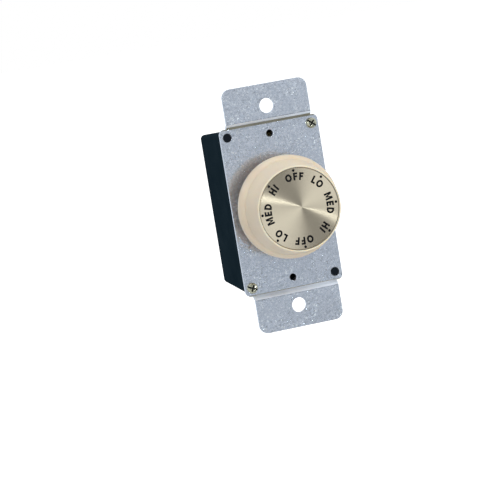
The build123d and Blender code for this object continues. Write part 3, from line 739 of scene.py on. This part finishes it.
def makeLegend():
    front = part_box("dial_plate")[0].y
    ink = legendSetup["inkHeight"] * mm
    middle = legendSetup["baseRadius"] + legendSetup["capHeight"] / 2
    step = 2 * math.pi / len(legendSetup["words"])
    form = bmesh.new()
    for index, word in enumerate(legendSetup["words"]):
        widths = [legendSetup["widths"][letter] for letter in word]
        gaps = [legendSetup["gap"] + legendSetup["kern"].get(letter, 0) for letter in word[:-1]] + [0]
        reach = -(sum(widths) + sum(gaps)) / 2
        for letter, wide, gap in zip(word, widths, gaps):
            addLetter(form, letter, wide / 2, -index * step - (reach + wide / 2) / middle)
            reach += wide + gap
        place = Matrix.Rotation(-index * step, 4, "Z")
        place @= Matrix.Translation((0, legendSetup["dotPlace"], 0))
        bmesh.ops.create_circle(form, cap_ends=True, segments=legendSetup["dotSteps"],
                                radius=legendSetup["dotRadius"], matrix=place)
    # the words are drawn flat in X and Y, then stood up to face the viewer
    bmesh.ops.scale(form, verts=form.verts, vec=(mm, mm, mm))
    bmesh.ops.rotate(form, verts=form.verts, matrix=Matrix.Rotation(math.radians(90), 3, "X"))
    bmesh.ops.translate(form, verts=form.verts, vec=(0, front - ink, 0))
    grown = bmesh.ops.extrude_face_region(form, geom=form.faces[:], use_keep_orig=True)
    moved = [item for item in grown["geom"] if isinstance(item, bmesh.types.BMVert)]
    bmesh.ops.translate(form, verts=moved, vec=(0, ink, 0))
    bmesh.ops.recalc_face_normals(form, faces=form.faces)
    legend = meshObject("dialWords", form)
    legend.data.materials.append(materials["ink"])
    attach(legend, "knob")


makeDial()
makeLegend()
print("dial and words made")


# Knob: the moulding's own inside, with an outer skin that carries fine ribs round its flank
knobSetup = {
    # heights are above the plate's front face, and radii are outside ones
    "rearHeight": 8.8, "skirtRadius": 21.2, "skirtTop": 11.0, "bandRadius": 19.75, "bandHeight": 14.2,
    "bandSag": 0.38, "ledge": 0.2, "lipRadius": 17.4, "lipHeight": 25.75, "flankSag": 0.35,
    "wall": 1.7, "crown": 3.1, "rearRound": 0.5, "lipRound": 0.3,
    "steps": 320, "roundSteps": 4, "flankSteps": 40, "bandSteps": 8,
    "ribDepth": 0.12, "ribFoot": 14.35, "ribTop": 19.5, "ribFade": 0.7,
    "dialDip": 0.45,        # how far the dial's face lies behind the lip
    "seatMouth": 0.25,      # how far the seat opens out round the dial
    "seatLand": 0.15,       # flat ring from the mouth to the outer skin
    "margin": 0.1,          # how far outside the inner wall the outer faces begin
    # how near a point or face lies to the seat's mouth and wall to count as part of them
    "seatReach": 0.12, "seatDepth": 0.1, "seatTouch": 0.02, "seatSteep": 0.9,
}
quarterSag = 1 - math.sqrt(0.5)   # bulge of a quarter round, as a share of its radius


def plateFront():
    # the plate's front face, from which the knob's heights are taken
    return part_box("dial_plate")[0].y + (knobSetup["lipHeight"] - knobSetup["dialDip"]) * mm


def arcPoints(start, end, sag, steps):
    # round stretch between two points, bulging by sag to the left of the way from start to end
    first, last = Vector(start), Vector(end)
    chord = last - first
    side = Vector((-chord.y, chord.x)).normalized()
    radius = (chord.length ** 2 / 4 + sag ** 2) / (2 * abs(sag))
    half = math.asin(chord.length / 2 / radius)
    middle = (first + last) / 2 + side * (sag - math.copysign(radius, sag))
    points = []
    for step in range(steps + 1):
        angle = half * (1 - 2 * step / steps)
        arm = side * math.copysign(math.cos(angle) * radius, sag)
        arm -= chord.normalized() * math.sin(angle) * radius
        points.append(tuple(middle + arm))
    return points


def knobSkinProfile():
    # (radius, height) from the lip's inner edge, round the outside, to the rim's inner edge
    setup = knobSetup
    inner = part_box("dial_plate")[1].x / mm + setup["seatMouth"] + setup["seatLand"]
    lip, skirt, rear = setup["lipRadius"], setup["skirtRadius"], setup["rearHeight"]
    foot = setup["bandRadius"] - setup["ledge"]
    lipTurn, rearTurn = setup["lipRound"], setup["rearRound"]
    points = [(inner, setup["lipHeight"]), (lip - lipTurn, setup["lipHeight"])]
    points += arcPoints((lip - lipTurn, setup["lipHeight"]), (lip, setup["lipHeight"] - lipTurn),
                        lipTurn * quarterSag, setup["roundSteps"])[1:]
    points += arcPoints((lip, setup["lipHeight"] - lipTurn), (foot, setup["bandHeight"]),
                        -setup["flankSag"], setup["flankSteps"])[1:]
    points += arcPoints((setup["bandRadius"], setup["bandHeight"]), (skirt, setup["skirtTop"]),
                        setup["bandSag"], setup["bandSteps"])
    points += [(skirt, rear + rearTurn)]
    points += arcPoints((skirt, rear + rearTurn), (skirt - rearTurn, rear),
                        rearTurn * quarterSag, setup["roundSteps"])[1:]
    points += [(skirt - setup["wall"] + setup["margin"], rear)]
    return points


def cutRibs(form):
    # every other column of the flank is sunk, most at the foot and fading to nothing
    setup = knobSetup
    front = plateFront()
    pitch = 2 * math.pi / setup["steps"]
    for vert in form.verts:
        height = (front - vert.co.y) / mm
        column = round(math.atan2(vert.co.z, vert.co.x) / pitch)
        reach = math.hypot(vert.co.x, vert.co.z)
        onFlank = setup["ribFoot"] <= height <= setup["ribTop"] and reach / mm < setup["bandRadius"]
        if column % 2 and onFlank:
            fade = 1 - (height - setup["ribFoot"]) / (setup["ribTop"] - setup["ribFoot"])
            keep = 1 - setup["ribDepth"] * fade ** setup["ribFade"] * mm / reach
            vert.co.x *= keep
            vert.co.z *= keep


def knobInside():
    # the moulded part's copy without its outer faces: dial seat, ribs, boss and inner wall
    setup = knobSetup
    front = plateFront()
    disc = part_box("dial_plate")[1].x / mm
    top = setup["lipHeight"] - setup["crown"]
    wallTop = setup["lipRadius"] - setup["flankSag"] - setup["wall"]
    wallBand = setup["bandRadius"] - setup["wall"]
    wallRear = setup["skirtRadius"] - setup["wall"]

    def limit(height):
        if height > top:
            return disc + setup["seatLand"]
        if height > setup["bandHeight"]:
            share = (height - setup["bandHeight"]) / (top - setup["bandHeight"])
            return wallBand + (wallTop - wallBand) * share + setup["margin"]
        share = (height - setup["rearHeight"]) / (setup["bandHeight"] - setup["rearHeight"])
        return wallRear + (wallBand - wallRear) * share + setup["margin"]

    form = bmesh.new()
    form.from_mesh(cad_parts["knob_body"].data)
    bmesh.ops.remove_doubles(form, verts=form.verts, dist=mergeDistance["cad"])
    outer = [face for face in form.faces
             if any(math.hypot(v.co.x, v.co.z) / mm > limit((front - v.co.y) / mm) for v in face.verts)]
    bmesh.ops.delete(form, geom=outer, context="FACES")
    for face in form.faces:   # the wall round the dial's edge lies in shade
        middle = face.calc_center_median()
        reach = math.hypot(middle.x, middle.z) / mm
        steep = (front - middle.y) / mm > top and abs(face.normal.y) < setup["seatSteep"]
        face.material_index = int(steep and reach > disc - setup["seatTouch"])
    for vert in form.verts:   # and opens out towards the lip
        reach = math.hypot(vert.co.x, vert.co.z) / mm
        atMouth = (front - vert.co.y) / mm > setup["lipHeight"] - setup["seatDepth"]
        if atMouth and abs(reach - disc) < setup["seatReach"]:
            vert.co.x *= (disc + setup["seatMouth"]) / reach
            vert.co.z *= (disc + setup["seatMouth"]) / reach
    return form


def makeKnob():
    setup = knobSetup
    front = plateFront()
    form = knobInside()
    skin = bmesh.new()
    spinProfile(skin, [(radius * mm, front - height * mm) for radius, height in knobSkinProfile()],
                setup["steps"])
    cutRibs(skin)
    joined = bpy.data.meshes.new("joined")
    skin.to_mesh(joined)
    skin.free()
    form.from_mesh(joined)
    bpy.data.meshes.remove(joined)
    rims = [edge for edge in form.edges if len(edge.link_faces) == 1]
    middle = front - (setup["lipHeight"] + setup["rearHeight"]) / 2 * mm
    for near in (True, False):
        pair = [edge for edge in rims if (edge.verts[0].co.y < middle) == near]
        bmesh.ops.bridge_loops(form, edges=pair)
    bmesh.ops.recalc_face_normals(form, faces=form.faces)
    print("knob open edges", len([edge for edge in form.edges if len(edge.link_faces) != 2]))
    knob = meshObject("ribbedKnob", form, sharpAngle=35)
    knob.data.materials.append(materials["ivory"])
    knob.data.materials.append(materials["seatShade"])
    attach(knob, "knob")
    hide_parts("knob_body")


makeKnob()
print("knob made")


# Sheet metal, moulded box and nut: the CAD forms with their edges broken
edgeSetup = {
    "yoke_plate": {"name": "zincYoke", "finish": ["zinc", "zincBendHighlight", "foldShade", "zincEdgeHighlight"],
                   "slot": "galvanised_sheet", "width": 0.26},
    "rear_housing": {"name": "mouldedBox", "finish": ["housing", "pegFace", "housing"],
                     "slot": "housing_plastic", "width": 0.12},
    "bushing_nut": {"name": "hexNut", "finish": ["steel"], "slot": "nut_steel", "width": 0.15},
}
breakAngle = 30
# where the yoke's two steps begin, how their faces lean, and where the painted shade in their folds
# begins
stepSetup = {"height": 33.0, "lean": (0.1, 0.97), "sideways": 0.1, "upperFold": -0.1, "lowerFold": 0.5}
pegReach = 1.0    # the housing's faces in front of this are its pegs


def finishIndex(node, face):
    # the steps get a painted highlight, apart from the upper slope and the folds, which get painted
    # shade; the pegs are blacker
    middle = face.calc_center_median() / mm
    if node == "rear_housing":
        return int(middle.y < pegReach)
    low, high = stepSetup["lean"]
    onStep = abs(middle.z) >= stepSetup["height"] and abs(face.normal.x) <= stepSetup["sideways"]
    if node != "yoke_plate" or not onStep or not low < -face.normal.y < high:
        return 0
    return 2 if middle.y > stepSetup["upperFold" if middle.z > 0 else "lowerFold"] else 1


def breakEdges(node, setup):
    form = cleanCopy(node)
    form.normal_update()
    for face in form.faces:
        face.material_index = finishIndex(node, face)
    piece = meshObject(setup["name"], form, sharpAngle=breakAngle)
    bevel = piece.modifiers.new("brokenEdges", "BEVEL")
    bevel.width = setup["width"] * mm
    bevel.segments = 2
    bevel.limit_method = "ANGLE"
    bevel.angle_limit = math.radians(breakAngle)
    # the bevel faces take the last finish: on the yoke, a painted highlight along its edges
    bevel.material = len(setup["finish"]) - 1
    for finish in setup["finish"]:
        piece.data.materials.append(materials[finish])
    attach(piece, "base")
    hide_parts(node)


for node, setup in edgeSetup.items():
    breakEdges(node, setup)
print("yoke, box and nut made")


# Bushing: threaded barrel through the plate, with its flange behind
bushingSetup = {"barrel": 4.75, "bore": 3.05, "flange": 1.0, "threaded": 6.6, "pitch": 0.8, "depth": 0.25,
                "steps": 64}


def makeBushing():
    setup = bushingSetup
    low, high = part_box("mounting_bushing")
    root = setup["barrel"] - setup["depth"]
    wide = high.x / mm
    front, rear = low.y / mm, high.y / mm
    turns = int(setup["threaded"] / setup["pitch"])
    points = [(setup["bore"] + setup["depth"], front), (root, front)]
    for turn in range(turns):
        start = front + setup["depth"] + turn * setup["pitch"]
        points += [(root, start), (setup["barrel"], start + setup["pitch"] / 2)]
    points += [(root, front + setup["depth"] + turns * setup["pitch"]),
               (setup["barrel"], front + setup["threaded"] + setup["depth"]),
               (setup["barrel"], rear - setup["flange"]), (wide, rear - setup["flange"]),
               (wide, rear), (setup["bore"], rear), (setup["bore"], front + setup["depth"])]
    form = bmesh.new()
    spinProfile(form, [(radius * mm, y * mm) for radius, y in points], setup["steps"], closed=True)
    bushing = meshObject("threadedBushing", form, sharpAngle=30)
    bushing.data.materials.append(materials["castZinc"])
    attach(bushing, "base")
    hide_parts("mounting_bushing")


makeBushing()
print("bushing made")


# Screws: the CAD screws with painted shade in their recesses, which are the faces well inside each
# rounded head
screwSetup = {"headRadius": 2.2, "headRound": 0.9, "headHeight": 1.5,
              "rim": 0.15, "crownDepth": 0.08, "underHead": 0.05}


def makeScrews():
    setup = screwSetup
    low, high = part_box("housing_screws")
    head, turn = setup["headRadius"], setup["headRound"]
    form = cleanCopy("housing_screws")
    for face in form.faces:
        middle = face.calc_center_median()
        corner, way = (high, -head * mm) if middle.z > 0 else (low, head * mm)
        depth = (middle.y - low.y) / mm
        edge = head - turn + math.sqrt(max(0, turn ** 2 - max(0, turn - depth) ** 2))
        reach = math.hypot(middle.x - corner.x - way, middle.z - corner.z - way) / mm
        inside = reach < edge - setup["rim"]
        deep = setup["crownDepth"] < depth < setup["headHeight"] - setup["underHead"]
        # faces inside the recess take the painted shade
        face.material_index = int(inside and deep)
    screws = meshObject("coverScrews", form, sharpAngle=35)
    screws.data.materials.append(materials["screw"])
    screws.data.materials.append(materials["paintedRecessShade"])
    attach(screws, "base")
    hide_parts("housing_screws")


makeScrews()
print("screws made")
